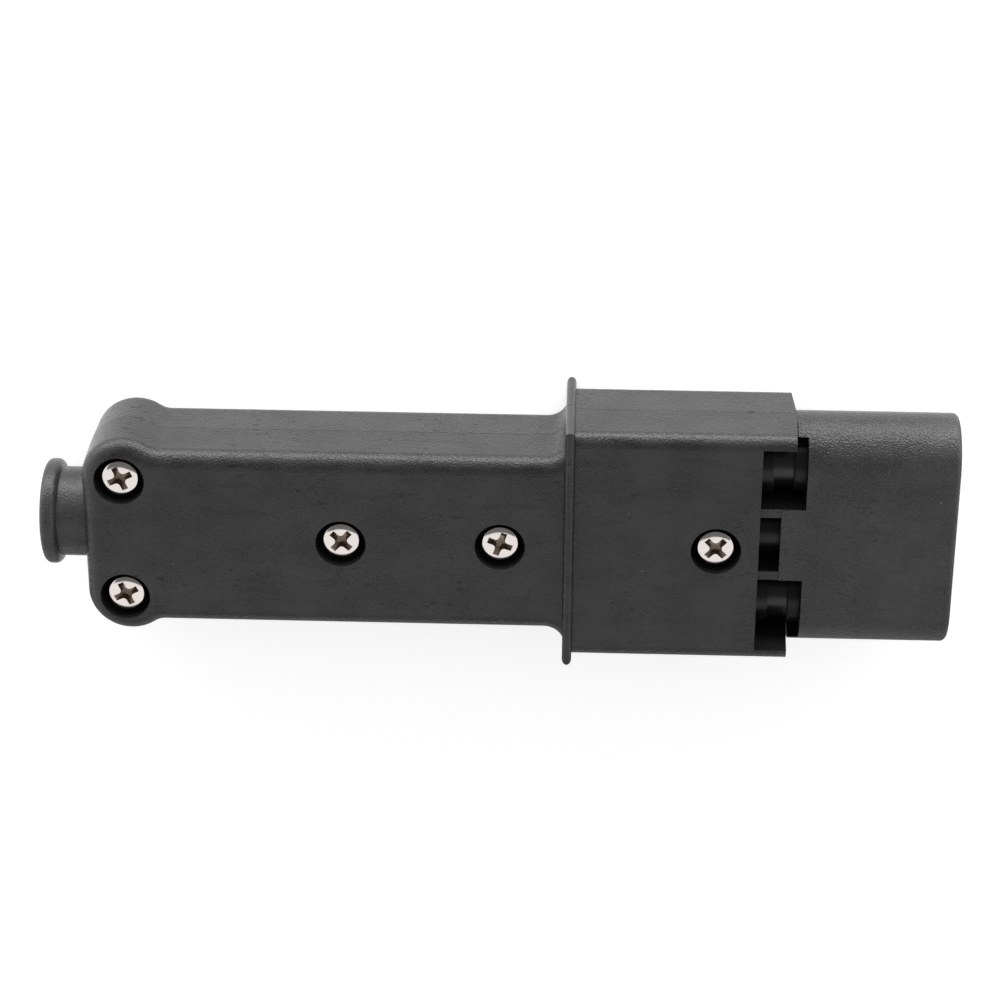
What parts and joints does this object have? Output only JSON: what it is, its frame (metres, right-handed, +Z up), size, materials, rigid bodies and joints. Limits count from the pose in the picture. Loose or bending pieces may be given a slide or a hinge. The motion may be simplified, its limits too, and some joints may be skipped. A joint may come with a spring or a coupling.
{
  "type": "hand-held charging plug",
  "caption": "Flat hand-held charging plug: two screwed half shells with a finger flange, a windowed head with a socket nose, and a cord bushing at the tail.",
  "frame": {"origin": "under the middle of the plug's box, on the surface that it lies on", "axes": "+X along the plug from the cord end to the nose, +Y across its width, +Z up through its thickness, out of the face with the screw heads"},
  "size_m": [0.1934, 0.0542, 0.0295],
  "materials": {
    "shell_plastic": "fine moulded grain, charcoal",
    "housing_plastic": "smooth black moulding, satin",
    "bushing_plastic": "fine grain, charcoal",
    "clamp_plastic": "plain black moulding",
    "contact_brass": "turned, tin-washed",
    "spring_steel": "bright spring strip",
    "screw_nickel": "bright nickel plate"
  },
  "bodies": {
    "root": {"front_shell": "shell_plastic", "back_shell": "shell_plastic", "contact_housing": "housing_plastic", "upper_power_contact": "contact_brass", "lower_power_contact": "contact_brass", "sense_contact": "contact_brass", "upper_power_spring_band": "spring_steel", "lower_power_spring_band": "spring_steel", "sense_spring_band": "spring_steel", "upper_power_retaining_clip": "spring_steel", "lower_power_retaining_clip": "spring_steel", "sense_retaining_clip": "spring_steel", "cord_bushing": "bushing_plastic", "cord_clamp": "clamp_plastic", "clamp_screw_upper": "screw_nickel", "clamp_screw_lower": "screw_nickel", "case_screw_tail_upper": "screw_nickel", "case_screw_tail_lower": "screw_nickel", "case_screw_middle": "screw_nickel", "case_screw_neck": "screw_nickel", "case_screw_head": "screw_nickel"}
  },
  "joints": []
}
